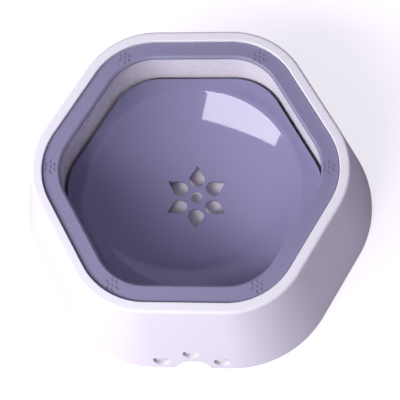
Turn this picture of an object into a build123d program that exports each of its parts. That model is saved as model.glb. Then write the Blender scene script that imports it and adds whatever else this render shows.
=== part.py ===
"""No-spill floating-disc water bowl for pets, in millimetres.

A flared hexagonal base shell carries a lift-out water bowl. A dished float plate
rides on the water inside it, and a splash ring drops into the rim and keeps the
float in. The origin is on the ground at the middle of the base, +Z is up, the
hexagon's flats face front and back (-Y and +Y) and two corners lie on the X axis.
"""
from math import asin, atan, cos, degrees, radians, sin, sqrt, tan
import os

from build123d import *

os.makedirs("parts", exist_ok=True)

# ---------------------------------------------------------------- outlines
SIDES = 6
CORNER_STEP = 360 / SIDES
core_apothem = 43.0         # every outline is this sharp hexagon, offset outwards
PLAIN_SIDES = 3             # short sides that stand for a round corner out of sight

# ---------------------------------------------------------------- base shell
shell_height = 81.8         # rim top above the ground
foot_drop = 1.2             # skirt edge above the ground, and height of the feet
base_apothem = 115.3        # outside of the skirt at its foot
rim_apothem = 94.5          # outside of the skirt at the rim
rim_band = 6.6              # width of the flat rim, from the skirt to the ring's recess
shell_wall = 2.6            # wall of the skirt, square to its surface
rim_web = 2.8               # thickness of the flat rim band
rim_bevel = 1.4             # outer edge of the rim
recess_bevel = 0.5          # edge of the rim beside the splash ring
collar_wall = 2.2           # wall between the rim's hollow and the ring's recess
ledge_thickness = 2.4       # inward ledge that carries the water bowl
rib_thickness = 1.8         # corner ribs between the collar and the skirt
rib_foot = 44.0             # where a rib's slant meets the skirt, above the ground
rib_bite = 0.8              # how far a rib runs into the walls it joins
shelf_thickness = 2.6       # corner shelves that carry the feet
shelf_size = 26.0           # side of a shelf, square about its foot
notch_radius = 12.0         # half-round finger notch in the skirt's edge
vent_inner = 17.6           # petal vents, from the notch's centre to their round end
vent_outer = 30.0           # and to their point
vent_width = 11.0
VENTS = 3
VENT_START = 30
PETAL_SIDES = 8             # short sides that make a petal's round end

# ---------------------------------------------------------------- feet
foot_inset = 11.8           # middle of each foot, inwards from the skirt's corner
foot_radius = 7.0

# ---------------------------------------------------------------- splash ring
ring_drop = 2.0             # ring top below the rim top
ring_width = 10.9           # from the ring's outside to its opening
ring_thickness = 3.2
ring_bevel = 1.3            # bevel round the opening
ring_clearance = 0.4        # between the ring and the rim's recess
ring_skirt_clearance = 1.3  # between the skirt under the ring and the bowl's mouth
ring_skirt_wall = 1.4
ring_skirt_depth = 4.6
seal_height = 2.6           # silicone band round the ring's skirt
seal_lift = 0.8             # seal above the skirt's lower edge
seal_clearance = 0.3        # between the seal and the bowl's mouth

# flower engraved at each corner of the ring
mark_depth = 0.45
mark_dot_radius = 1.0
mark_inner = 1.9            # petals, from the flower's centre to their round end
mark_outer = 5.4            # and to their point
mark_width = 2.4
MARK_SIDES = 3              # short sides that make its round end

# ---------------------------------------------------------------- water bowl
bowl_narrowing = 1.7        # how much narrower the bowl is at its floor than at its mouth
floor_height = 9.5          # bowl floor above the ground
bowl_wall = 2.2
bowl_bevel = 4.0            # between the wall and the floor, inside and outside
BEVEL_ANGLE = 45
flange_thickness = 2.2      # flange that rests on the shell's ledge
flange_width = 5.1          # from the flange's outside to the bowl's mouth
flange_clearance = 0.5      # between the flange and the rim's recess
bowl_clearance = 0.4        # between the bowl's wall and the ledge

# ---------------------------------------------------------------- float
float_clearance = 0.7       # between the float's edge and the skirt under the ring
float_height = 33.3         # from the bowl's floor to the top of the float's edge, at rest
float_wall = 2.0
float_edge_depth = 5.4      # skirt round the float's edge
float_edge_wall = 1.5
float_edge_bevel = 0.6
dish_border = 5.4           # from the float's edge to the round dish, at the flats
dish_lip_width = 4.4        # bevelled lip round the dish
dish_lip_drop = 1.56
dish_lift = 7.3             # lowest point of the dish above the bowl's floor, at rest
hole_radius = 4.0           # middle hole of the flower
petal_inner = 8.0           # petal holes, from the middle to their round end
petal_outer = 22.8          # and to their point
petal_width = 10.7
PETALS = 6
PETAL_START = 30

# float cover, which closes the air chamber from below
cover_wall = 1.6
cover_clearance = 0.2       # between the cover's flange and the float's edge
cover_lip_gap = 0.3         # between the cover's tub and the lip of the dish
cover_bevel = 2.0
well_apothem = 25.5         # open well under the flower of holes
WELL_SIDES = 24             # short sides that stand for its round wall
well_gap = 0.15             # weld gap between the well and the dish
runner_height = 0.8         # low runners that keep the float off the bowl's floor
runner_length = 12.0
runner_width = 3.0
runner_radius = 38.0        # middle of each runner, from the middle of the float

# ---------------------------------------------------------------- worked-out sizes
ring_top = shell_height - ring_drop
ring_bottom = ring_top - ring_thickness
ledge_top = ring_bottom - flange_thickness
# from the rim inwards: recess, ring, flange, bowl, skirt under the ring, float, dish
recess_apothem = rim_apothem - rim_band
ring_apothem = recess_apothem - ring_clearance
ring_opening = ring_apothem - ring_width
flange_apothem = recess_apothem - flange_clearance
mouth_apothem = flange_apothem - flange_width
floor_apothem = mouth_apothem - bowl_narrowing
ring_skirt_outside = mouth_apothem - ring_skirt_clearance
ring_skirt_apothem = ring_skirt_outside - ring_skirt_wall
float_apothem = ring_skirt_apothem - float_clearance
dish_mouth_radius = float_apothem - dish_border
bowl_draft = (mouth_apothem - floor_apothem) / (ring_bottom - floor_height)
skirt_slope = (base_apothem - rim_apothem) / (shell_height - foot_drop)
skirt_taper = degrees(atan(skirt_slope))
wall_run = shell_wall * sqrt(1 + skirt_slope**2)    # the skirt's wall, measured level
bowl_taper = degrees(atan(bowl_draft))
float_edge_height = floor_height + float_height
float_underside = float_edge_height - float_wall
dish_bottom = floor_height + dish_lift
# the dish is a cap of a sphere that ends at the foot of its lip
dish_edge_radius = dish_mouth_radius - dish_lip_width
dish_rise = float_edge_height - dish_lip_drop - dish_bottom
dish_radius = (dish_edge_radius**2 + dish_rise**2) / (2 * dish_rise)
dish_tilt = degrees(asin(dish_edge_radius / dish_radius))
# under the dish, a flat disc and a cone stay at least one wall away from its face
well_outside = well_apothem + cover_wall
under_tilt = 2 * atan(well_outside / (dish_radius + float_wall))
dish_underside = dish_bottom - float_wall
rim_underside = dish_underside + (dish_mouth_radius - well_outside) * tan(under_tilt)


def skirt_apothem(height):
    """Outside apothem of the skirt at a height above the ground."""
    return base_apothem - skirt_slope * (height - foot_drop)


def bowl_apothem(height):
    """Inside apothem of the water bowl's wall at a height above the ground."""
    return mouth_apothem - bowl_draft * (ring_bottom - height)


def corner_reach(apothem):
    """Distance from the middle to the rounded corner of an outline."""
    return core_apothem / cos(radians(CORNER_STEP / 2)) + apothem - core_apothem


def outline(apothem):
    """Rounded hexagon: a sharp hexagon of the core apothem, offset to the apothem."""
    with BuildSketch(mode=Mode.PRIVATE) as shape:
        RegularPolygon(apothem, SIDES, major_radius=False)
        fillet(shape.vertices(), apothem - core_apothem)
    return shape.sketch_local


def plain_outline(apothem):
    """The same hexagon for faces out of sight, with a few short sides at each corner."""
    core_reach = corner_reach(core_apothem)
    corner_round = apothem - core_apothem
    points = []
    for corner in range(SIDES):
        along = radians(CORNER_STEP * corner)
        for step in range(PLAIN_SIDES + 1):
            turn = along + radians(CORNER_STEP * (step / PLAIN_SIDES - 0.5))
            points.append((
                core_reach * cos(along) + corner_round * cos(turn),
                core_reach * sin(along) + corner_round * sin(turn),
            ))
    with BuildSketch(mode=Mode.PRIVATE) as shape:
        with BuildLine():
            Polyline(*points, close=True)
        make_face()
    return shape.sketch_local


def teardrop(length, width, sides):
    """Petal with its round end at the origin, made of short sides, and its point along +X."""
    end_radius = width / 2
    half_point = asin(end_radius / (length - end_radius))
    first = radians(90) - half_point
    sweep = 2 * (radians(180) - first)
    angles = [first + sweep * step / sides for step in range(sides + 1)]
    rim = [(end_radius * (1 + cos(angle)), end_radius * sin(angle)) for angle in angles]
    with BuildSketch(mode=Mode.PRIVATE) as shape:
        with BuildLine():
            Polyline(*rim, (length, 0), close=True)
        make_face()
    return shape.sketch_local


# ================================================================ base shell
shelf_top = foot_drop + shelf_thickness
hollow_top = shell_height - rim_web
collar_foot = ledge_top - ledge_thickness
collar_apothem = recess_apothem + collar_wall
vent_petal = teardrop(vent_outer - vent_inner, vent_width, PETAL_SIDES)


def hollow_reach(height):
    """Distance from the middle to the inside of the skirt's corner at a height."""
    return corner_reach(skirt_apothem(height) - wall_run)


foot_circle = hollow_reach(foot_drop) - foot_inset

with BuildPart() as base_shell:
    # flared skirt with a bevelled rim
    with BuildSketch(Plane.XY.offset(foot_drop)):
        add(outline(base_apothem))
    extrude(amount=shell_height - foot_drop, taper=skirt_taper)
    chamfer(base_shell.edges().group_by(Axis.Z)[-1], rim_bevel)
    # hollow from below, which leaves a shelf in each corner of the foot
    with BuildSketch(Plane.XY.offset(foot_drop)):
        add(plain_outline(skirt_apothem(shelf_top) - wall_run))
        with PolarLocations(foot_circle, SIDES):
            Rectangle(shelf_size, shelf_size, mode=Mode.SUBTRACT)
    extrude(amount=shelf_thickness, mode=Mode.SUBTRACT)
    with BuildSketch(Plane.XY.offset(shelf_top)):
        add(plain_outline(skirt_apothem(shelf_top) - wall_run))
    extrude(amount=hollow_top - shelf_top, taper=skirt_taper, mode=Mode.SUBTRACT)
    # collar that hangs from the rim, and the ribs that tie it to the skirt
    with BuildSketch(Plane.XY.offset(collar_foot)):
        add(plain_outline(collar_apothem))
    extrude(amount=hollow_top + rim_web / 2 - collar_foot)
    for corner in range(SIDES):
        with BuildSketch(Plane.XZ.rotated((0, 0, CORNER_STEP * corner))):
            with BuildLine():
                Polyline(
                    (corner_reach(collar_apothem) - rib_bite, collar_foot),
                    (corner_reach(collar_apothem) - rib_bite, hollow_top + rib_bite),
                    (hollow_reach(hollow_top) + rib_bite, hollow_top + rib_bite),
                    (hollow_reach(rib_foot) + rib_bite, rib_foot),
                    close=True,
                )
            make_face()
        extrude(amount=rib_thickness / 2, both=True)
    # recess for the ring and the bowl's flange, and the way through the ledge
    with BuildSketch(Plane.XY.offset(ledge_top)):
        add(outline(recess_apothem))
    extrude(amount=shell_height - ledge_top, mode=Mode.SUBTRACT)
    with BuildSketch(Plane.XY.offset(collar_foot)):
        add(plain_outline(bowl_apothem(ledge_top) + bowl_wall + bowl_clearance))
    extrude(amount=ledge_thickness, mode=Mode.SUBTRACT)
    rim_face = base_shell.faces().sort_by(Axis.Z)[-1]
    chamfer(rim_face.inner_wires()[0].edges(), recess_bevel)
    # finger notch and petal vents, alike at the front and the back
    with BuildSketch(Plane.XZ):
        Circle(notch_radius)
        with PolarLocations(vent_inner, VENTS, VENT_START, 180 - 2 * VENT_START, endpoint=True):
            add(vent_petal)
    extrude(amount=base_apothem + shell_wall, both=True, mode=Mode.SUBTRACT)

base_shell.part.label = "base_shell"
export_step(base_shell.part, "parts/base_shell.step")

# ================================================================ feet
for corner in range(SIDES):
    with BuildPart() as foot:
        with BuildSketch():
            with PolarLocations(foot_circle, 1, CORNER_STEP * corner):
                RegularPolygon(foot_radius, SIDES)
        extrude(amount=foot_drop)
    foot.part.label = f"foot_{corner + 1}"
    export_step(foot.part, f"parts/foot_{corner + 1}.step")

# ================================================================ water bowl
underside = floor_height - bowl_wall

with BuildPart() as water_bowl:
    # tapered basin
    with BuildSketch(Plane.XY.offset(underside)):
        add(plain_outline(bowl_apothem(underside) + bowl_wall))
    extrude(amount=ring_bottom - underside, taper=-bowl_taper)
    chamfer(water_bowl.edges().group_by(Axis.Z)[0], bowl_bevel)
    # flange that hangs on the shell's ledge
    with BuildSketch(Plane.XY.offset(ledge_top)):
        add(plain_outline(flange_apothem))
    extrude(amount=flange_thickness)
    # room inside, bevelled like the outside
    with BuildSketch(Plane.XY.offset(floor_height + bowl_bevel)):
        add(outline(bowl_apothem(floor_height + bowl_bevel)))
    extrude(amount=ring_bottom - floor_height - bowl_bevel, taper=-bowl_taper, mode=Mode.SUBTRACT)
    with BuildSketch(Plane.XY.offset(floor_height + bowl_bevel)):
        add(outline(bowl_apothem(floor_height + bowl_bevel)))
    extrude(amount=-bowl_bevel, taper=BEVEL_ANGLE, mode=Mode.SUBTRACT)

water_bowl.part.label = "water_bowl"
export_step(water_bowl.part, "parts/water_bowl.step")

# ================================================================ splash ring
mark_circle = (corner_reach(ring_apothem) + corner_reach(ring_opening)) / 2
mark_petal = teardrop(mark_outer - mark_inner, mark_width, MARK_SIDES)

with BuildPart() as splash_ring:
    # flat ring with a bevelled opening
    with BuildSketch(Plane.XY.offset(ring_bottom)):
        add(outline(ring_apothem))
        add(outline(ring_opening), mode=Mode.SUBTRACT)
    extrude(amount=ring_thickness)
    ring_face = splash_ring.faces().sort_by(Axis.Z)[-1]
    chamfer(ring_face.inner_wires()[0].edges(), ring_bevel)
    # skirt that reaches down into the bowl's mouth
    with BuildSketch(Plane.XY.offset(ring_bottom)):
        add(plain_outline(ring_skirt_outside))
        add(plain_outline(ring_skirt_apothem), mode=Mode.SUBTRACT)
    extrude(amount=-ring_skirt_depth)
    # engraved flowers
    with BuildSketch(Plane.XY.offset(ring_top)):
        with PolarLocations(mark_circle, SIDES):
            RegularPolygon(mark_dot_radius, SIDES)
            with PolarLocations(mark_inner, PETALS, PETAL_START):
                add(mark_petal)
    extrude(amount=-mark_depth, mode=Mode.SUBTRACT)

splash_ring.part.label = "splash_ring"
export_step(splash_ring.part, "parts/splash_ring.step")

# ================================================================ ring seal
seal_bottom = ring_bottom - ring_skirt_depth + seal_lift
seal_apothem = bowl_apothem(seal_bottom) - seal_clearance

with BuildPart() as ring_seal:
    with BuildSketch(Plane.XY.offset(seal_bottom)):
        add(plain_outline(seal_apothem))
        add(plain_outline(ring_skirt_outside), mode=Mode.SUBTRACT)
    extrude(amount=seal_height)

ring_seal.part.label = "ring_seal"
export_step(ring_seal.part, "parts/ring_seal.step")

# ================================================================ float plate
float_petal = teardrop(petal_outer - petal_inner, petal_width, PETAL_SIDES)

with BuildPart() as float_plate:
    # hexagonal plate with a skirt round its edge
    with BuildSketch(Plane.XY.offset(float_underside)):
        add(outline(float_apothem))
        Circle(dish_mouth_radius, mode=Mode.SUBTRACT)
    extrude(amount=float_wall)
    float_face = float_plate.faces().sort_by(Axis.Z)[-1]
    chamfer(float_face.outer_wire().edges(), float_edge_bevel)
    with BuildSketch(Plane.XY.offset(float_underside)):
        add(outline(float_apothem))
        add(plain_outline(float_apothem - float_edge_wall), mode=Mode.SUBTRACT)
    extrude(amount=float_wall - float_edge_depth)
    # round dish with a bevelled lip, flat underneath where the well meets it
    with BuildSketch(Plane.XZ):
        with BuildLine():
            dish = CenterArc((0, dish_bottom + dish_radius), dish_radius, -90, dish_tilt)
            Polyline(
                dish @ 1,
                (dish_mouth_radius, float_edge_height),
                (dish_mouth_radius, rim_underside),
                (well_outside, dish_underside),
                (0, dish_underside),
                (0, dish_bottom),
            )
        make_face()
    revolve(axis=Axis.Z)
    # flower of holes, through which the water wells up into the dish
    with BuildSketch(Plane.XY.offset(dish_bottom)):
        Circle(hole_radius)
        with PolarLocations(petal_inner, PETALS, PETAL_START):
            add(float_petal)
    extrude(amount=float_height, both=True, mode=Mode.SUBTRACT)

float_plate.part.label = "float_plate"
export_step(float_plate.part, "parts/float_plate.step")

# ================================================================ float cover
cover_bottom = floor_height + runner_height
cover_flange_foot = float_underside - cover_wall
chamber_apothem = dish_mouth_radius + cover_lip_gap
well_top = dish_underside - well_gap

with BuildPart() as float_cover:
    # tub with a flange that is welded under the plate
    with BuildSketch(Plane.XY.offset(cover_bottom)):
        add(plain_outline(chamber_apothem + cover_wall))
    extrude(amount=float_underside - cover_bottom)
    chamfer(float_cover.edges().group_by(Axis.Z)[0], cover_bevel)
    with BuildSketch(Plane.XY.offset(cover_flange_foot)):
        add(plain_outline(float_apothem - float_edge_wall - cover_clearance))
    extrude(amount=cover_wall)
    with BuildSketch(Plane.XY.offset(cover_bottom + cover_wall)):
        add(plain_outline(chamber_apothem))
    extrude(amount=float_underside - cover_bottom - cover_wall, mode=Mode.SUBTRACT)
    # open well
    with BuildSketch(Plane.XY.offset(cover_bottom)):
        RegularPolygon(well_outside, WELL_SIDES, major_radius=False)
    extrude(amount=well_top - cover_bottom)
    with BuildSketch(Plane.XY.offset(cover_bottom)):
        RegularPolygon(well_apothem, WELL_SIDES, major_radius=False)
    extrude(amount=well_top - cover_bottom, mode=Mode.SUBTRACT)
    # runners under the cover
    with BuildSketch(Plane.XY.offset(floor_height)):
        with PolarLocations(runner_radius, SIDES):
            Rectangle(runner_length, runner_width)
    extrude(amount=runner_height)

float_cover.part.label = "float_cover"
export_step(float_cover.part, "parts/float_cover.step")
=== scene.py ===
"""Looks of the hexagonal no-spill water bowl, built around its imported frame.

Every large piece is one section swept round a rounded hexagon. The sweep is a
Geometry Nodes tree, and its sections repeat the maker's sizes in metres. Each
swept piece stands for its CAD node; the feet, the seal and the float's cover keep
their CAD shape and get a finish.
"""
from __future__ import annotations

import logging
from dataclasses import dataclass, field
from enum import Enum
from math import asin, atan, atan2, cos, pi, radians, sin, sqrt, tan

import bmesh
import bpy
from mathutils import Euler, Matrix, Vector

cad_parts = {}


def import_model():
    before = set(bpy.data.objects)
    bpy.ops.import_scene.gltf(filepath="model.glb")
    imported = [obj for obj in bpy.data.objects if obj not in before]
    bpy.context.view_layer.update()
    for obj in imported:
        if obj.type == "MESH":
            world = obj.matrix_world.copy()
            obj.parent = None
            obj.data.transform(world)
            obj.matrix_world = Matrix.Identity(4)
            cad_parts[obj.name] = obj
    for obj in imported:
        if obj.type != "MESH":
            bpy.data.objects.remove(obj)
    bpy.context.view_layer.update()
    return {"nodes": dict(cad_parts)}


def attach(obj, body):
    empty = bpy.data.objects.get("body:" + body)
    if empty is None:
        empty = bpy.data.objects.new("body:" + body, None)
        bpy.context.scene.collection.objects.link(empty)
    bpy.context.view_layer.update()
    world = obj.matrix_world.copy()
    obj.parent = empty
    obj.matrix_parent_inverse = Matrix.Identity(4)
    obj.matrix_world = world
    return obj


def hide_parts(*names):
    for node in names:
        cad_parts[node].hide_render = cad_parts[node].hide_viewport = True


log = logging.getLogger("water_bowl_scene")

MM = 0.001
SIDES = 6
CORE_APOTHEM = 43.0 * MM
SCATTER_RADIUS = (1.0, 0.45, 0.5)
SCATTER_DEPTH = 2.5 * MM
WAVE_HEIGHT = 1 * MM
COLUMNS_ROUND = 360
WELD_GAP = 0.001 * MM

Section = list[tuple[float, float, float]]
"""Points of a section: (apothem or radius, height, 1 where the point is round)."""


class Body(Enum):
    """Bodies of the frame that a piece may ride on."""

    SHELL = "shell"
    BOWL = "bowl"
    RING = "ring"
    FLOAT = "float"


# ---------------------------------------------------------------- finishes
class NodeDesk:
    """Short hand for laying out the nodes of one material or geometry tree."""

    def __init__(self, tree: bpy.types.NodeTree) -> None:
        """Keep the tree that the nodes go into."""
        self.tree = tree

    def add(self, kind: str, **settings: object) -> bpy.types.Node:
        """Add a node and set its properties.

        Args:
            kind: Blender's name of the node type.
            settings: properties of the node.

        Returns:
            The new node.
        """
        node = self.tree.nodes.new(kind)
        for name, value in settings.items():
            setattr(node, name, value)
        return node

    def join(self, source: bpy.types.NodeSocket, target: bpy.types.NodeSocket) -> None:
        """Link two sockets."""
        self.tree.links.new(source, target)

    def math(self, operation: str, *values: object) -> bpy.types.NodeSocket:
        """Add a math node on sockets and numbers.

        Args:
            operation: the math node's operation.
            values: a socket or a number for each input.

        Returns:
            The result's socket.
        """
        node = self.add("ShaderNodeMath", operation=operation)
        for slot, value in zip(node.inputs, values):
            if isinstance(value, bpy.types.NodeSocket):
                self.join(value, slot)
            else:
                slot.default_value = float(value)
        return node.outputs[0]


@dataclass(frozen=True)
class MouldedPlastic:
    """Injection-moulded plastic with faint clouding, fine grain and soft gloss."""

    name: str
    colour: tuple[float, float, float]
    deep_colour: tuple[float, float, float]
    roughness: float = 0.3
    roughness_play: float = 0.06
    ior: float = 1.5
    cloud_scale: float = 14.0
    grain_scale: float = 2600.0
    grain_height: float = 0.00001
    grain_strength: float = 0.12
    wave_scale: float = 45.0
    wave_strength: float = 0.02
    translucence: float = 0.0

    def build(self) -> bpy.types.Material:
        """Make the material.

        Returns:
            The node material.
        """
        material = bpy.data.materials.new(self.name)
        material.use_nodes = True
        tree = material.node_tree
        tree.nodes.clear()
        desk = NodeDesk(tree)
        place = desk.add("ShaderNodeTexCoord").outputs["Object"]
        shader = desk.add("ShaderNodeBsdfPrincipled")
        output = desk.add("ShaderNodeOutputMaterial")
        desk.join(shader.outputs[0], output.inputs["Surface"])
        self._colour(desk, place, shader)
        self._relief(desk, place, shader)
        shader.inputs["IOR"].default_value = self.ior
        if self.translucence:
            shader.inputs["Subsurface Weight"].default_value = self.translucence
            shader.inputs["Subsurface Radius"].default_value = SCATTER_RADIUS
            shader.inputs["Subsurface Scale"].default_value = SCATTER_DEPTH
        return material

    def _colour(self, desk: NodeDesk, place: bpy.types.NodeSocket, shader: bpy.types.Node) -> None:
        """Cloud the colour and the roughness softly."""
        cloud = desk.add("ShaderNodeTexNoise")
        cloud.inputs["Scale"].default_value = self.cloud_scale
        cloud.inputs["Detail"].default_value = 3.0
        desk.join(place, cloud.inputs["Vector"])
        tint = desk.add("ShaderNodeMix", data_type="RGBA")
        tint.inputs["A"].default_value = (*self.colour, 1)
        tint.inputs["B"].default_value = (*self.deep_colour, 1)
        desk.join(cloud.outputs["Fac"], tint.inputs["Factor"])
        desk.join(tint.outputs["Result"], shader.inputs["Base Color"])
        smear = desk.add("ShaderNodeTexNoise")
        smear.inputs["Scale"].default_value = self.cloud_scale * 5
        smear.inputs["Detail"].default_value = 4.0
        desk.join(place, smear.inputs["Vector"])
        spread = desk.add("ShaderNodeMapRange")
        spread.inputs["To Min"].default_value = self.roughness - self.roughness_play
        spread.inputs["To Max"].default_value = self.roughness + self.roughness_play
        desk.join(smear.outputs["Fac"], spread.inputs["Value"])
        desk.join(spread.outputs["Result"], shader.inputs["Roughness"])

    def _relief(self, desk: NodeDesk, place: bpy.types.NodeSocket, shader: bpy.types.Node) -> None:
        """Raise a fine grain and a slight waviness of the moulded face."""
        grain = desk.add("ShaderNodeTexNoise")
        grain.inputs["Scale"].default_value = self.grain_scale
        desk.join(place, grain.inputs["Vector"])
        fine = desk.add("ShaderNodeBump")
        fine.inputs["Strength"].default_value = self.grain_strength
        fine.inputs["Distance"].default_value = self.grain_height
        desk.join(grain.outputs["Fac"], fine.inputs["Height"])
        wave = desk.add("ShaderNodeTexNoise")
        wave.inputs["Scale"].default_value = self.wave_scale
        wave.inputs["Detail"].default_value = 1.0
        desk.join(place, wave.inputs["Vector"])
        broad = desk.add("ShaderNodeBump")
        broad.inputs["Strength"].default_value = self.wave_strength
        broad.inputs["Distance"].default_value = WAVE_HEIGHT
        desk.join(wave.outputs["Fac"], broad.inputs["Height"])
        desk.join(fine.outputs["Normal"], broad.inputs["Normal"])
        desk.join(broad.outputs["Normal"], shader.inputs["Normal"])


@dataclass(frozen=True)
class SoftRubber(MouldedPlastic):
    """Rubber or silicone: the plastic's clouding with a coarse, dull skin."""

    roughness: float = 0.7
    roughness_play: float = 0.08
    ior: float = 1.42
    grain_scale: float = 1500.0
    grain_strength: float = 0.35


@dataclass(frozen=True)
class Palette:
    """The finish of each of the record's material slots."""

    shell: MouldedPlastic = MouldedPlastic(
        "white_shell", (0.845, 0.835, 0.875), (0.82, 0.81, 0.85), roughness=0.34,
        translucence=0.08, wave_strength=0.012)
    basin: MouldedPlastic = MouldedPlastic(
        "white_basin", (0.87, 0.83, 0.87), (0.84, 0.80, 0.84), roughness=0.28,
        translucence=0.35, wave_strength=0.008)
    ring: MouldedPlastic = MouldedPlastic(
        "lavender_ring", (0.250, 0.240, 0.370), (0.236, 0.226, 0.352), roughness=0.42,
        grain_strength=0.3)
    float_top: MouldedPlastic = MouldedPlastic(
        "lavender_float", (0.245, 0.238, 0.385), (0.232, 0.225, 0.368), roughness=0.055,
        roughness_play=0.015, ior=1.47, grain_strength=0.02, wave_strength=0.008)
    # The cover is a real lavender part, but its colour is pulled towards maroon as painted shade:
    # it stands in for the dark red-brown shade in the gap round the float and under its holes.
    cover: MouldedPlastic = MouldedPlastic(
        "lavender_cover", (0.235, 0.170, 0.235), (0.220, 0.158, 0.220), roughness=0.4)
    seal: SoftRubber = SoftRubber(
        "clear_seal", (0.62, 0.62, 0.65), (0.56, 0.56, 0.60), roughness=0.45, translucence=0.3)
    feet: SoftRubber = SoftRubber(
        "rubber_feet", (0.30, 0.30, 0.33), (0.25, 0.25, 0.28))


# ---------------------------------------------------------------- shapes
def hexagon_reach(apothem: float, bearing: float) -> float:
    """Distance from the middle to a rounded hexagon.

    Args:
        apothem: the outline's distance at the middle of a flat.
        bearing: direction from the middle, from +X, in radians.

    Returns:
        The outline's distance in that direction.
    """
    half = pi / SIDES
    turn = abs((bearing + half) % (2 * half) - half)
    core_reach = CORE_APOTHEM / cos(half)
    corner_round = apothem - CORE_APOTHEM
    arc_end = atan2(corner_round * sin(half), core_reach + corner_round * cos(half))
    if turn > arc_end:
        return apothem / cos(half - turn)
    return core_reach * cos(turn) + sqrt(corner_round**2 - (core_reach * sin(turn)) ** 2)


def corner_reach(apothem: float) -> float:
    """Distance from the middle to the rounded corner of an outline."""
    return hexagon_reach(apothem, 0.0)


def flat(*points: tuple[float, float]) -> Section:
    """Section points that follow the hexagon."""
    return [(size, height, 0.0) for size, height in points]


def round_section(*points: tuple[float, float]) -> Section:
    """Section points that follow a circle."""
    return [(size, height, 1.0) for size, height in points]


def eased(*corners: tuple[float, float, float], steps: int = 6) -> Section:
    """Section along the hexagon whose corners are each rounded by their own reach.

    Args:
        corners: (apothem, height, how far the rounding reaches along both sides).
        steps: faces across one rounding.

    Returns:
        The section's points, in the order of the corners.
    """
    points: Section = []
    count = len(corners)
    for index, (size, height, ease) in enumerate(corners):
        here = Vector((size, height))
        before = Vector(corners[index - 1][:2])
        after = Vector(corners[(index + 1) % count][:2])
        if not ease:
            points.append((size, height, 0.0))
            continue
        start = here + (before - here).normalized() * ease
        end = here + (after - here).normalized() * ease
        for step in range(steps + 1):
            share = step / steps
            spot = start.lerp(here, share).lerp(here.lerp(end, share), share)
            points.append((spot.x, spot.y, 0.0))
    return points


def arc(centre: tuple[float, float], radius: float, start: float, end: float, steps: int) -> list:
    """Points along an arc of a section.

    Args:
        centre: the arc's centre, as (size, height).
        radius: the arc's radius.
        start: angle of the first point, from the size axis, in radians.
        end: angle of the last point.
        steps: number of equal steps.

    Returns:
        The points as (size, height) pairs.
    """
    angles = [start + (end - start) * step / steps for step in range(steps + 1)]
    return [(centre[0] + radius * cos(a), centre[1] + radius * sin(a)) for a in angles]


def circle(radius: float, steps: int) -> list[tuple[float, float]]:
    """Outline of a circle about the origin, counter-clockwise."""
    return arc((0.0, 0.0), radius, 0, 2 * pi, steps)[:-1]


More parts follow.
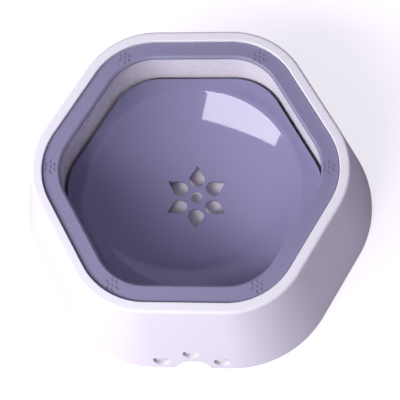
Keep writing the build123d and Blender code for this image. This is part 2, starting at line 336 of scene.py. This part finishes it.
class SweepTree:
    """Geometry Nodes tree that sweeps a section round the rounded hexagon.

    The tree's geometry is a chain of points, X for the apothem or radius, Z for the
    height and Y for how round the point's path is. It makes a grid with a column for
    every bearing and a row for every point of the chain, and bends it round.
    """

    COLUMNS = "Columns"
    CORE = "Core apothem"
    FINISH = "Finish"

    def __init__(self) -> None:
        """Build the tree with its named inputs."""
        self.tree = bpy.data.node_groups.new("hexagon_sweep", "GeometryNodeTree")
        face = self.tree.interface
        face.new_socket("Section", in_out="INPUT", socket_type="NodeSocketGeometry")
        columns = face.new_socket(self.COLUMNS, in_out="INPUT", socket_type="NodeSocketInt")
        columns.default_value = COLUMNS_ROUND
        core = face.new_socket(self.CORE, in_out="INPUT", socket_type="NodeSocketFloat")
        core.default_value = CORE_APOTHEM
        face.new_socket(self.FINISH, in_out="INPUT", socket_type="NodeSocketMaterial")
        face.new_socket("Mesh", in_out="OUTPUT", socket_type="NodeSocketGeometry")
        self._lay_out(NodeDesk(self.tree))

    def _lay_out(self, desk: NodeDesk) -> None:
        """Lay out the tree from the chain of points to the finished surface."""
        given = desk.add("NodeGroupInput")
        made = desk.add("NodeGroupOutput")
        size = desk.add("GeometryNodeAttributeDomainSize")
        desk.join(given.outputs["Section"], size.inputs["Geometry"])
        rows = size.outputs["Point Count"]
        columns = desk.math("ADD", given.outputs[self.COLUMNS], 1)
        grid = desk.add("GeometryNodeMeshGrid")
        desk.join(columns, grid.inputs["Vertices X"])
        desk.join(rows, grid.inputs["Vertices Y"])
        index = desk.add("GeometryNodeInputIndex").outputs[0]
        column = desk.math("FLOOR", desk.math("DIVIDE", desk.math("ADD", index, 0.5), rows))
        row = desk.math("SUBTRACT", index, desk.math("MULTIPLY", column, rows))
        sample = desk.add("GeometryNodeSampleIndex", data_type="FLOAT_VECTOR")
        desk.join(given.outputs["Section"], sample.inputs["Geometry"])
        desk.join(desk.add("GeometryNodeInputPosition").outputs[0], sample.inputs["Value"])
        desk.join(row, sample.inputs["Index"])
        spot = desk.add("ShaderNodeSeparateXYZ")
        desk.join(sample.outputs["Value"], spot.inputs[0])
        turn = desk.math("DIVIDE", column, given.outputs[self.COLUMNS])
        bearing = desk.math("MULTIPLY", turn, 2 * pi)
        reach = self._reach(desk, spot.outputs["X"], bearing, given.outputs[self.CORE])
        roundness = spot.outputs["Y"]
        straight = desk.math("MULTIPLY", reach, desk.math("SUBTRACT", 1, roundness))
        distance = desk.math("MULTIPLY_ADD", spot.outputs["X"], roundness, straight)
        place = desk.add("ShaderNodeCombineXYZ")
        desk.join(desk.math("MULTIPLY", distance, desk.math("COSINE", bearing)), place.inputs["X"])
        desk.join(desk.math("MULTIPLY", distance, desk.math("SINE", bearing)), place.inputs["Y"])
        desk.join(spot.outputs["Z"], place.inputs["Z"])
        bend = desk.add("GeometryNodeSetPosition")
        desk.join(grid.outputs["Mesh"], bend.inputs["Geometry"])
        desk.join(place.outputs[0], bend.inputs["Position"])
        weld = desk.add("GeometryNodeMergeByDistance")
        weld.inputs["Distance"].default_value = WELD_GAP
        desk.join(bend.outputs[0], weld.inputs["Geometry"])
        real = desk.add("GeometryNodeRealizeInstances")
        desk.join(weld.outputs[0], real.inputs["Geometry"])
        dress = desk.add("GeometryNodeSetMaterial")
        desk.join(real.outputs[0], dress.inputs["Geometry"])
        desk.join(given.outputs[self.FINISH], dress.inputs["Material"])
        desk.join(dress.outputs[0], made.inputs[0])

    @staticmethod
    def _reach(
        desk: NodeDesk,
        apothem: bpy.types.NodeSocket,
        bearing: bpy.types.NodeSocket,
        core: bpy.types.NodeSocket,
    ) -> bpy.types.NodeSocket:
        """Nodes that do what hexagon_reach does.

        Args:
            desk: the tree's desk.
            apothem: the outline's apothem.
            bearing: direction from the middle, in radians.
            core: apothem of the sharp hexagon inside.

        Returns:
            The socket that gives the outline's distance.
        """
        half = pi / SIDES
        folded = desk.math("FLOORED_MODULO", desk.math("ADD", bearing, half), 2 * half)
        turn = desk.math("ABSOLUTE", desk.math("SUBTRACT", folded, half))
        core_reach = desk.math("DIVIDE", core, cos(half))
        corner_round = desk.math("MAXIMUM", desk.math("SUBTRACT", apothem, core), 0)
        across = desk.math("MULTIPLY", corner_round, sin(half))
        along = desk.math("MULTIPLY_ADD", corner_round, cos(half), core_reach)
        on_flat = desk.math("GREATER_THAN", turn, desk.math("ARCTAN2", across, along))
        lean = desk.math("COSINE", desk.math("SUBTRACT", half, turn))
        flat_reach = desk.math("DIVIDE", apothem, lean)
        aside = desk.math("MULTIPLY", core_reach, desk.math("SINE", turn))
        left = desk.math(
            "SUBTRACT",
            desk.math("MULTIPLY", corner_round, corner_round),
            desk.math("MULTIPLY", aside, aside),
        )
        root = desk.math("SQRT", desk.math("MAXIMUM", left, 0))
        arc_reach = desk.math("MULTIPLY_ADD", core_reach, desk.math("COSINE", turn), root)
        chosen = desk.add("GeometryNodeSwitch", input_type="FLOAT")
        desk.join(on_flat, chosen.inputs["Switch"])
        desk.join(arc_reach, chosen.inputs["False"])
        desk.join(flat_reach, chosen.inputs["True"])
        return chosen.outputs[0]

    def sweep(
        self, name: str, section: Section, finish: bpy.types.Material, closed: bool = True
    ) -> bpy.types.Object:
        """Sweep a section into a plain mesh object.

        Args:
            name: the piece's name.
            section: the section's points, going round counter-clockwise in (size, height).
            finish: the piece's material.
            closed: True where the section's last point meets its first.

        Returns:
            The new object, at the origin, with outward faces.
        """
        points = section + section[:1] if closed else section
        chain = bpy.data.meshes.new(name + "_section")
        chain.from_pydata([(size, kind, height) for size, height, kind in points],
                          [(at, at + 1) for at in range(len(points) - 1)], [])
        piece = bpy.data.objects.new(name, chain)
        bpy.context.scene.collection.objects.link(piece)
        set_inputs(piece, self.tree, {
            self.COLUMNS: COLUMNS_ROUND, self.CORE: CORE_APOTHEM, self.FINISH: finish,
        })
        return baked(piece)


def set_inputs(
    piece: bpy.types.Object, tree: bpy.types.NodeTree, values: dict[str, object]
) -> None:
    """Put a geometry tree on a piece and set its named inputs.

    Args:
        piece: the object that the tree works on.
        tree: the geometry tree.
        values: value of each named input.
    """
    modifier = piece.modifiers.new(tree.name, "NODES")
    modifier.node_group = tree
    for item in tree.interface.items_tree:
        if item.in_out == "INPUT" and item.name in values:
            modifier[item.identifier] = values[item.name]


def baked(piece: bpy.types.Object) -> bpy.types.Object:
    """Turn a piece's modifiers into its plain mesh.

    Args:
        piece: an object with live modifiers.

    Returns:
        The same object with the finished mesh and no modifier.
    """
    graph = bpy.context.evaluated_depsgraph_get()
    mesh = bpy.data.meshes.new_from_object(piece.evaluated_get(graph), depsgraph=graph)
    mesh.name = piece.name
    piece.modifiers.clear()
    piece.data = mesh
    return piece


def outward(piece: bpy.types.Object) -> None:
    """Merge a piece's doubles and turn its faces outwards."""
    shape = bmesh.new()
    shape.from_mesh(piece.data)
    bmesh.ops.remove_doubles(shape, verts=shape.verts, dist=WELD_GAP)
    bmesh.ops.recalc_face_normals(shape, faces=shape.faces)
    shape.to_mesh(piece.data)
    shape.free()


def smoothed(piece: bpy.types.Object, sharp_angle: float = 28.0) -> None:
    """Shade a piece smoothly, with its edges kept sharp past an angle.

    Args:
        piece: the finished piece.
        sharp_angle: faces that meet at more than this, in degrees, keep their edge.
    """
    piece.data.shade_smooth()
    piece.data.set_sharp_from_angle(angle=radians(sharp_angle))
    weights = piece.modifiers.new("face_weights", "WEIGHTED_NORMAL")
    weights.keep_sharp = True
    weights.weight = 70
    baked(piece)


def cut(piece: bpy.types.Object, tool: bpy.types.Object) -> None:
    """Cut a closed tool out of a piece and remove the tool.

    Args:
        piece: the piece that is cut.
        tool: the closed mesh to take away.
    """
    saw = piece.modifiers.new("cut", "BOOLEAN")
    saw.operation = "DIFFERENCE"
    saw.solver = "EXACT"
    saw.object = tool
    baked(piece)
    bpy.data.objects.remove(tool)


class CopyTree:
    """Geometry Nodes tree that sets copies of a shape round a centre.

    Each copy is turned with its bearing, so that a petal points outwards.
    """

    COUNT = "Count"
    RADIUS = "Radius"
    FIRST = "First bearing"
    STEP = "Step"
    FINISH = "Finish"

    def __init__(self) -> None:
        """Build the tree with its named inputs."""
        self.tree = bpy.data.node_groups.new("ring_of_copies", "GeometryNodeTree")
        face = self.tree.interface
        face.new_socket("Shape", in_out="INPUT", socket_type="NodeSocketGeometry")
        face.new_socket(self.COUNT, in_out="INPUT", socket_type="NodeSocketInt")
        for name in (self.RADIUS, self.FIRST, self.STEP):
            face.new_socket(name, in_out="INPUT", socket_type="NodeSocketFloat")
        face.new_socket(self.FINISH, in_out="INPUT", socket_type="NodeSocketMaterial")
        face.new_socket("Mesh", in_out="OUTPUT", socket_type="NodeSocketGeometry")
        desk = NodeDesk(self.tree)
        given = desk.add("NodeGroupInput")
        made = desk.add("NodeGroupOutput")
        index = desk.add("GeometryNodeInputIndex").outputs[0]
        step, first = given.outputs[self.STEP], given.outputs[self.FIRST]
        bearing = desk.math("MULTIPLY_ADD", index, step, first)
        place = desk.add("ShaderNodeCombineXYZ")
        for axis, operation in (("X", "COSINE"), ("Y", "SINE")):
            share = desk.math(operation, bearing)
            desk.join(desk.math("MULTIPLY", share, given.outputs[self.RADIUS]), place.inputs[axis])
        points = desk.add("GeometryNodePoints")
        desk.join(given.outputs[self.COUNT], points.inputs["Count"])
        desk.join(place.outputs[0], points.inputs["Position"])
        turn = desk.add("ShaderNodeCombineXYZ")
        desk.join(bearing, turn.inputs["Z"])
        rotation = desk.add("FunctionNodeEulerToRotation")
        desk.join(turn.outputs[0], rotation.inputs[0])
        copies = desk.add("GeometryNodeInstanceOnPoints")
        desk.join(points.outputs[0], copies.inputs["Points"])
        desk.join(given.outputs["Shape"], copies.inputs["Instance"])
        desk.join(rotation.outputs[0], copies.inputs["Rotation"])
        real = desk.add("GeometryNodeRealizeInstances")
        desk.join(copies.outputs[0], real.inputs["Geometry"])
        dress = desk.add("GeometryNodeSetMaterial")
        desk.join(real.outputs[0], dress.inputs["Geometry"])
        desk.join(given.outputs[self.FINISH], dress.inputs["Material"])
        desk.join(dress.outputs[0], made.inputs[0])

    def copy(
        self, piece: bpy.types.Object, finish: bpy.types.Material, count: int = SIDES,
        radius: float = 0.0, first: float = 0.0, step: float = 2 * pi / SIDES,
    ) -> bpy.types.Object:
        """Replace a piece's mesh by copies of it round the middle.

        Args:
            piece: the shape to repeat, at the origin.
            finish: the copies' material.
            count: number of copies.
            radius: distance of each copy from the middle.
            first: bearing of the first copy, in radians.
            step: bearing from one copy to the next.

        Returns:
            The same object with all the copies in its mesh.
        """
        set_inputs(piece, self.tree, {
            self.COUNT: count, self.RADIUS: radius, self.FIRST: first, self.STEP: step,
            self.FINISH: finish,
        })
        return baked(piece)


def petal_outline(length: float, width: float, steps: int = 28) -> list[tuple[float, float]]:
    """Outline of a petal with its round end at the origin and its point along +X.

    Args:
        length: from the round end to the point.
        width: across the round end.
        steps: faces round the round end.

    Returns:
        The outline's points, counter-clockwise.
    """
    end = width / 2
    first = pi / 2 - asin(end / (length - end))
    sweep = 2 * (pi - first)
    rim = arc((end, 0.0), end, first, first + sweep, steps)
    return [*rim, (length, 0.0)]


def prism(
    name: str, outline: list[tuple[float, float]], low: float, high: float
) -> bpy.types.Object:
    """Closed prism on an outline in the XY plane.

    Args:
        name: the object's name.
        outline: the outline's points, counter-clockwise.
        low: height of the lower face.
        high: height of the upper face.

    Returns:
        The new object.
    """
    count = len(outline)
    points = [(x, y, height) for height in (low, high) for x, y in outline]
    sides = [(at, (at + 1) % count, (at + 1) % count + count, at + count) for at in range(count)]
    mesh = bpy.data.meshes.new(name)
    ends = [tuple(reversed(range(count))), tuple(range(count, 2 * count))]
    mesh.from_pydata(points, [], ends + sides)
    piece = bpy.data.objects.new(name, mesh)
    bpy.context.scene.collection.objects.link(piece)
    return piece


def upright(piece: bpy.types.Object) -> bpy.types.Object:
    """Turn a shape's mesh so that its Y points up and its height points to -Y."""
    piece.data.transform(Matrix.Rotation(pi / 2, 4, "X"))
    return piece


# ---------------------------------------------------------------- sub-assemblies
@dataclass
class Workshop:
    """The trees and finishes that every sub-assembly is made with."""

    sweeps: SweepTree
    copies: CopyTree
    finishes: dict[str, bpy.types.Material]

    def hand_in(
        self, piece: bpy.types.Object, body: Body, slot: str, stands_for: str | None = None
    ) -> bpy.types.Object:
        """Give a finished piece to its body.

        Args:
            piece: the finished piece.
            body: the body it moves with.
            slot: the record's material slot; not used.
            stands_for: the CAD node that it replaces, if any.

        Returns:
            The same piece.
        """
        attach(piece, body.value)
        if stands_for:
            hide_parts(stands_for)
        log.info("%s: %d faces, rides on %s", piece.name, len(piece.data.polygons), body.value)
        return piece

    def dress(self, node: bpy.types.Object, slot: str) -> None:
        """Give a CAD node its finish.

        Args:
            node: the CAD node's object.
            slot: the record's material slot.
        """
        node.data.materials.clear()
        node.data.materials.append(self.finishes[slot])
        log.info("%s keeps its CAD shape", node.name)


@dataclass
class BaseShell:
    """Flared white shell with its rim, its ledge, ribs, foot shelves and vents."""

    shop: Workshop
    height: float = 81.8 * MM
    foot_drop: float = 1.2 * MM
    base_apothem: float = 115.3 * MM
    rim_apothem: float = 94.5 * MM
    wall: float = 2.6 * MM
    rim_web: float = 2.8 * MM
    rim_ease: float = 1.9 * MM
    recess_ease: float = 0.7 * MM
    recess_apothem: float = 87.9 * MM
    collar_wall: float = 2.2 * MM
    ledge_top: float = 74.4 * MM
    ledge_thickness: float = 2.4 * MM
    ledge_apothem: float = 84.84 * MM
    edge_ease: float = 0.4 * MM
    rib_thickness: float = 1.8 * MM
    rib_foot: float = 44.0 * MM
    rib_bite: float = 0.8 * MM
    shelf_thickness: float = 2.6 * MM
    shelf_size: float = 26.0 * MM
    foot_circle: float = 107.5 * MM
    notch_radius: float = 12.0 * MM
    vent_inner: float = 17.6 * MM
    vent_outer: float = 30.0 * MM
    vent_width: float = 11.0 * MM
    slot: str = "white_shell"

    def skirt(self, height: float) -> float:
        """Outside apothem of the skirt at a height."""
        rise = (height - self.foot_drop) / (self.height - self.foot_drop)
        return self.base_apothem + (self.rim_apothem - self.base_apothem) * rise

    def inside(self, height: float) -> float:
        """Inside apothem of the skirt at a height."""
        slope = (self.base_apothem - self.rim_apothem) / (self.height - self.foot_drop)
        return self.skirt(height) - self.wall * sqrt(1 + slope**2)

    def build(self) -> None:
        """Build the shell's pieces and hand them in."""
        finish = self.shop.finishes[self.slot]
        self.shop.hand_in(self._body(finish), Body.SHELL, self.slot, "base_shell")
        self.shop.hand_in(self._ribs(finish), Body.SHELL, self.slot)
        self.shop.hand_in(self._shelves(finish), Body.SHELL, self.slot)

    def _body(self, finish: bpy.types.Material) -> bpy.types.Object:
        """Skirt, rim and ledge in one sweep, with the notches and vents cut through."""
        hollow_top = self.height - self.rim_web
        collar = self.recess_apothem + self.collar_wall
        ledge_foot = self.ledge_top - self.ledge_thickness
        section = eased(
            (self.inside(self.foot_drop), self.foot_drop, self.edge_ease),
            (self.skirt(self.foot_drop), self.foot_drop, self.edge_ease),
            (self.rim_apothem, self.height, self.rim_ease),
            (self.recess_apothem, self.height, self.recess_ease),
            (self.recess_apothem, self.ledge_top, 0),
            (self.ledge_apothem, self.ledge_top, 0),
            (self.ledge_apothem, ledge_foot, 0),
            (collar, ledge_foot, 0),
            (collar, hollow_top, 0),
            (self.inside(hollow_top), hollow_top, 0),
        )
        body = self.shop.sweeps.sweep("shell_body", section, finish)
        outward(body)
        reach = self.base_apothem + self.wall
        notch = prism("notch_tool", circle(self.notch_radius, 72), -reach, reach)
        cut(body, upright(notch))
        petal = petal_outline(self.vent_outer - self.vent_inner, self.vent_width)
        vents = prism("vent_tool", petal, -reach, reach)
        self.shop.copies.copy(vents, finish, count=3, radius=self.vent_inner,
                              first=radians(30), step=radians(60))
        cut(body, upright(vents))
        smoothed(body)
        return body

    def _ribs(self, finish: bpy.types.Material) -> bpy.types.Object:
        """Corner ribs between the collar and the skirt."""
        hollow_top = self.height - self.rim_web
        collar_reach = corner_reach(self.recess_apothem + self.collar_wall) - self.rib_bite
        top = hollow_top + self.rib_bite
        outline = [
            (collar_reach, self.ledge_top - self.ledge_thickness),
            (corner_reach(self.inside(self.rib_foot)) + self.rib_bite, self.rib_foot),
            (corner_reach(self.inside(hollow_top)) + self.rib_bite, top),
            (collar_reach, top),
        ]
        rib = upright(prism("shell_ribs", outline, -self.rib_thickness / 2, self.rib_thickness / 2))
        self.shop.copies.copy(rib, finish)
        outward(rib)
        return rib

    def _shelves(self, finish: bpy.types.Material) -> bpy.types.Object:
        """Corner shelves that carry the feet."""
        near = self.foot_circle - self.shelf_size / 2
        far = corner_reach(self.inside(self.foot_drop))
        half = self.shelf_size / 2
        outline = [(near, -half), (far, -half), (far, half), (near, half)]
        shelf = prism("shell_shelves", outline, self.foot_drop + 0.05 * MM,
                      self.foot_drop + self.shelf_thickness)
        self.shop.copies.copy(shelf, finish)
        outward(shelf)
        return shelf


@dataclass
class WaterBowl:
    """White basin that hangs in the shell by its flange."""

    shop: Workshop
    mouth_apothem: float = 82.3 * MM
    floor_apothem: float = 80.6 * MM
    mouth_height: float = 76.6 * MM
    floor_height: float = 9.5 * MM
    wall: float = 2.2 * MM
    corner: float = 6.0 * MM
    edge_ease: float = 0.3 * MM
    flange_apothem: float = 87.4 * MM
    flange_thickness: float = 2.2 * MM
    slot: str = "white_basin"

    def build(self) -> None:
        """Build the basin and hand it in."""
        underside = self.floor_height - self.wall
        draft = (self.mouth_apothem - self.floor_apothem) / (self.mouth_height - self.floor_height)
        flange_foot = self.mouth_height - self.flange_thickness
        outside = self.floor_apothem + self.wall - draft * self.wall
        under_flange = self.mouth_apothem + self.wall - draft * self.flange_thickness
        rim = eased(
            (outside, underside, self.corner),
            (under_flange, flange_foot, 0),
            (self.flange_apothem, flange_foot, 0),
            (self.flange_apothem, self.mouth_height, self.edge_ease),
            (self.mouth_apothem, self.mouth_height, self.edge_ease),
            (self.floor_apothem, self.floor_height, self.corner),
        )
        section = [(0.0, underside, 1.0), (CORE_APOTHEM, underside, 0.0), *rim,
                   (CORE_APOTHEM, self.floor_height, 0.0), (0.0, self.floor_height, 1.0)]
        finish = self.shop.finishes[self.slot]
        basin = self.shop.sweeps.sweep("basin", section, finish, closed=False)
        outward(basin)
        smoothed(basin)
        self.shop.hand_in(basin, Body.BOWL, self.slot, "water_bowl")


@dataclass
class SplashRing:
    """Flat lavender ring with a bevelled opening and an engraved flower at each corner."""

    shop: Workshop
    top: float = 79.8 * MM
    apothem: float = 87.5 * MM
    opening: float = 76.6 * MM
    thickness: float = 3.2 * MM
    bevel: float = 1.3 * MM
    edge_ease: float = 0.25 * MM
    skirt_inside: float = 79.6 * MM
    skirt_wall: float = 1.4 * MM
    skirt_depth: float = 4.6 * MM
    mark_depth: float = 0.45 * MM
    mark_dot: float = 1.0 * MM
    mark_inner: float = 1.9 * MM
    mark_outer: float = 5.4 * MM
    mark_width: float = 2.4 * MM
    slot: str = "lavender_ring"

    def build(self) -> None:
        """Build the ring, engrave its flowers and hand it in."""
        finish = self.shop.finishes[self.slot]
        underside = self.top - self.thickness
        skirt_foot = underside - self.skirt_depth
        skirt_outside = self.skirt_inside + self.skirt_wall
        ease = self.edge_ease
        section = eased(
            (self.opening, underside, ease),
            (self.skirt_inside, underside, 0),
            (self.skirt_inside, skirt_foot, 0),
            (skirt_outside, skirt_foot, 0),
            (skirt_outside, underside, 0),
            (self.apothem, underside, 0),
            (self.apothem, self.top, ease),
            (self.opening + self.bevel, self.top, ease),
            (self.opening, self.top - self.bevel, ease),
        )
        ring = self.shop.sweeps.sweep("ring_body", section, finish)
        outward(ring)
        cut(ring, self._flowers(finish))
        smoothed(ring, sharp_angle=40)
        self.shop.hand_in(ring, Body.RING, self.slot, "splash_ring")

    def _flowers(self, finish: bpy.types.Material) -> bpy.types.Object:
        """Tool that engraves a flower of six petals and a dot at every corner."""
        mark_circle = (corner_reach(self.apothem) + corner_reach(self.opening)) / 2
        low, high = self.top - self.mark_depth, self.top + self.mark_depth
        petal = petal_outline(self.mark_outer - self.mark_inner, self.mark_width, steps=10)
        tool = prism("flower_tool", petal, low, high)
        self.shop.copies.copy(tool, finish, radius=self.mark_inner, first=radians(30))
        dot = prism("dot_tool", circle(self.mark_dot, 16), low, high)
        flower = joined(tool, dot)
        return self.shop.copies.copy(flower, finish, radius=mark_circle)


@dataclass
class FloatDisc:
    """Dished lavender float plate with a flower of holes in its middle."""

    shop: Workshop
    apothem: float = 78.9 * MM
    edge_height: float = 42.8 * MM
    wall: float = 2.0 * MM
    edge_depth: float = 5.4 * MM
    edge_wall: float = 1.5 * MM
    edge_ease: float = 0.8 * MM
    mouth_radius: float = 73.5 * MM
    lip_round: float = 7.0 * MM
    depth: float = 26.0 * MM
    well_outside: float = 27.1 * MM
    hole_radius: float = 4.0 * MM
    petal_inner: float = 8.0 * MM
    petal_outer: float = 22.8 * MM
    petal_width: float = 10.7 * MM
    slot: str = "lavender_float"

    def build(self) -> None:
        """Build the float plate, cut its holes and hand it in."""
        finish = self.shop.finishes[self.slot]
        plate = self.shop.sweeps.sweep("float_dish", self._section(), finish, closed=False)
        outward(plate)
        low, high = 0.0, self.edge_height
        hole = prism("hole_tool", circle(self.hole_radius, 64), low, high)
        cut(plate, hole)
        petal = petal_outline(self.petal_outer - self.petal_inner, self.petal_width, steps=40)
        petals = prism("petal_tool", petal, low, high)
        self.shop.copies.copy(petals, finish, radius=self.petal_inner, first=radians(30))
        cut(plate, petals)
        smoothed(plate, sharp_angle=35)
        self.shop.hand_in(plate, Body.FLOAT, self.slot, "float_plate")

    def _section(self) -> Section:
        """Section of the plate, from the middle of its underside to the middle of the dish."""
        bottom = self.edge_height - self.depth
        lip_centre = self.edge_height - self.lip_round
        rise = lip_centre - bottom
        reach = self.mouth_radius**2 + rise**2 - self.lip_round**2
        radius = reach / (2 * (rise + self.lip_round))
        centre = bottom + radius
        tilt = asin(self.mouth_radius / (radius + self.lip_round))
        under_tilt = 2 * atan(self.well_outside / (radius + self.wall))
        under = bottom - self.wall
        rim_under = under + (self.mouth_radius - self.well_outside) * tan(under_tilt)
        plate_under = self.edge_height - self.wall
        skirt_foot = self.edge_height - self.edge_depth
        skirt_inside = self.apothem - self.edge_wall
        below = round_section(
            (0, under), (self.well_outside, under), (self.mouth_radius, rim_under),
            (self.mouth_radius, plate_under))
        edge = flat(
            (skirt_inside, plate_under), (skirt_inside, skirt_foot), (self.apothem, skirt_foot))
        bevel_centre = (self.apothem - self.edge_ease, self.edge_height - self.edge_ease)
        bevel_arc = arc(bevel_centre, self.edge_ease, 0, pi / 2, 6)
        lip = arc((self.mouth_radius, lip_centre), self.lip_round, pi / 2, pi / 2 + tilt, 18)
        dish = arc((0.0, centre), radius, tilt - pi / 2, -pi / 2, 60)
        return [*below, *edge, *flat(*bevel_arc), *round_section(*lip, *dish[1:])]


def joined(first: bpy.types.Object, second: bpy.types.Object) -> bpy.types.Object:
    """Put the second object's mesh into the first and remove the second.

    Args:
        first: the object that stays.
        second: the object whose mesh is added.

    Returns:
        The first object.
    """
    shape = bmesh.new()
    shape.from_mesh(first.data)
    shape.from_mesh(second.data)
    shape.to_mesh(first.data)
    shape.free()
    bpy.data.objects.remove(second)
    return first


@dataclass
class PlainParts:
    """CAD nodes that keep their shape: the float's cover, the ring's seal and the feet."""

    shop: Workshop
    slots: dict[str, str] = field(default_factory=lambda: {
        "float_cover": "lavender_cover",
        "ring_seal": "clear_seal",
        **{f"foot_{at}": "rubber_feet" for at in range(1, SIDES + 1)},
    })

    def dress(self, nodes: dict[str, bpy.types.Object]) -> None:
        """Give each node its finish.

        Args:
            nodes: the frame's CAD nodes by name.
        """
        for name, slot in self.slots.items():
            self.shop.dress(nodes[name], slot)


# ---------------------------------------------------------------- studio
@dataclass(frozen=True)
class Softbox:
    """A rectangular lamp near the bowl."""

    name: str
    bearing: float
    elevation: float
    distance: float
    width: float
    height: float
    power: float
    colour: tuple[float, float, float] = (1.0, 0.985, 1.03)
    swing: float = 0.0
    tilt: float = 0.0
    roll: float = 0.0

    def build(self, target: Vector) -> None:
        """Add the lamp.

        It faces the target, then swings sideways, tilts and rolls by its own angles.

        Args:
            target: the point that its place is measured from.
        """
        lamp = bpy.data.lights.new(self.name, "AREA")
        lamp.shape = "RECTANGLE"
        lamp.size, lamp.size_y = self.width, self.height
        lamp.energy = self.power
        lamp.color = self.colour
        holder = bpy.data.objects.new(self.name, lamp)
        bpy.context.scene.collection.objects.link(holder)
        bearing, rise = radians(self.bearing), radians(self.elevation)
        away = Vector((cos(bearing) * cos(rise), sin(bearing) * cos(rise), sin(rise)))
        holder.location = target + away * self.distance
        turn = Euler((radians(self.tilt), radians(self.swing), radians(self.roll)), "XYZ")
        holder.rotation_mode = "QUATERNION"
        holder.rotation_quaternion = away.to_track_quat("Z", "Y") @ turn.to_quaternion()


@dataclass
class Studio:
    """Pale floor, soft lamps, plain world and the camera."""

    floor_size: float = 6.0
    floor_colour: tuple[float, float, float] = (0.56, 0.50, 0.62)
    floor_lift: float = 0.68
    world_colour: tuple[float, float, float] = (0.98, 0.90, 1.12)
    world_low: float = 0.03
    world_high: float = 0.42
    world_bearing: float = -150.0
    world_elevation: float = 50.0
    camera_place: Vector = field(default_factory=lambda: Vector((0.0549, -0.2162, 0.6664)))
    camera_target: Vector = field(default_factory=lambda: Vector((0.00748, -0.02219, 0.0798)))
    camera_roll: float = -12.761
    lens: float = 89.05
    lamps: tuple[Softbox, ...] = (
        Softbox("key_box", -150.1, 36.5, 1.3, 1.5, 0.378, 20.0, swing=36.3, tilt=6.3, roll=29.2),
    )

    def build(self) -> None:
        """Build the whole studio."""
        scene = bpy.context.scene
        scene.view_settings.view_transform = "Standard"
        for lamp in self.lamps:
            lamp.build(Vector((0, 0, 60 * MM)))
        self._world(scene)
        self._floor()
        self._camera(scene)

    def _world(self, scene: bpy.types.Scene) -> None:
        """Lilac surroundings, brighter on the side of the softbox."""
        world = bpy.data.worlds.new("studio")
        scene.world = world
        world.use_nodes = True
        tree = world.node_tree
        desk = NodeDesk(tree)
        back = tree.nodes["Background"]
        back.inputs["Color"].default_value = (*self.world_colour, 1)
        bearing, rise = radians(self.world_bearing), radians(self.world_elevation)
        lean = desk.add("ShaderNodeVectorMath", operation="DOT_PRODUCT")
        desk.join(desk.add("ShaderNodeTexCoord").outputs["Generated"], lean.inputs[0])
        lean.inputs[1].default_value = (
            cos(bearing) * cos(rise), sin(bearing) * cos(rise), sin(rise))
        level = desk.add("ShaderNodeMapRange", interpolation_type="SMOOTHSTEP")
        level.inputs["From Min"].default_value = -1.0
        level.inputs["To Min"].default_value = self.world_low
        level.inputs["To Max"].default_value = self.world_high
        desk.join(lean.outputs["Value"], level.inputs["Value"])
        desk.join(level.outputs["Result"], back.inputs["Strength"])

    def _floor(self) -> None:
        """Pale floor that keeps the bowl's shadow and is white to the camera."""
        half = self.floor_size / 2
        mesh = bpy.data.meshes.new("floor")
        mesh.from_pydata([(-half, -half, 0), (half, -half, 0), (half, half, 0), (-half, half, 0)],
                         [], [(0, 1, 2, 3)])
        floor = bpy.data.objects.new("floor", mesh)
        bpy.context.scene.collection.objects.link(floor)
        material = bpy.data.materials.new("studio_floor")
        material.use_nodes = True
        tree = material.node_tree
        tree.nodes.clear()
        desk = NodeDesk(tree)
        matt = desk.add("ShaderNodeBsdfDiffuse")
        matt.inputs["Color"].default_value = (*self.floor_colour, 1)
        lift = desk.add("ShaderNodeEmission")
        path = desk.add("ShaderNodeLightPath")
        camera_ray, clear_ray = path.outputs["Is Camera Ray"], path.outputs["Is Transmission Ray"]
        seen = desk.math("MAXIMUM", camera_ray, clear_ray)
        desk.join(desk.math("MULTIPLY", seen, self.floor_lift), lift.inputs["Strength"])
        both = desk.add("ShaderNodeAddShader")
        desk.join(matt.outputs[0], both.inputs[0])
        desk.join(lift.outputs[0], both.inputs[1])
        desk.join(both.outputs[0], desk.add("ShaderNodeOutputMaterial").inputs["Surface"])
        mesh.materials.append(material)

    def _camera(self, scene: bpy.types.Scene) -> None:
        """Camera that looks down on the bowl, rolled a little."""
        forward = (self.camera_target - self.camera_place).normalized()
        level = forward.cross(Vector((0, 0, 1))).normalized()
        above = level.cross(forward)
        roll = radians(self.camera_roll)
        right = level * cos(roll) + above * sin(roll)
        top = above * cos(roll) - level * sin(roll)
        data = bpy.data.cameras.new("camera")
        data.lens = self.lens
        data.sensor_width = 36.0
        data.clip_start = 0.01
        camera = bpy.data.objects.new("camera", data)
        scene.collection.objects.link(camera)
        turn = Matrix((right, top, -forward)).transposed().to_4x4()
        camera.matrix_world = Matrix.Translation(self.camera_place) @ turn
        scene.camera = camera


def main() -> None:
    """Build the bowl's looks in order; each swept piece logs its face count."""
    logging.basicConfig(level=logging.INFO, format="%(message)s")
    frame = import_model()
    palette = Palette()
    finishes = {
        finish.name: finish.build()
        for finish in (palette.shell, palette.basin, palette.ring, palette.float_top,
                       palette.cover, palette.seal, palette.feet)
    }
    shop = Workshop(SweepTree(), CopyTree(), finishes)
    BaseShell(shop).build()
    WaterBowl(shop).build()
    SplashRing(shop).build()
    FloatDisc(shop).build()
    PlainParts(shop).dress(frame["nodes"])
    Studio().build()


if __name__ == "__main__":
    main()
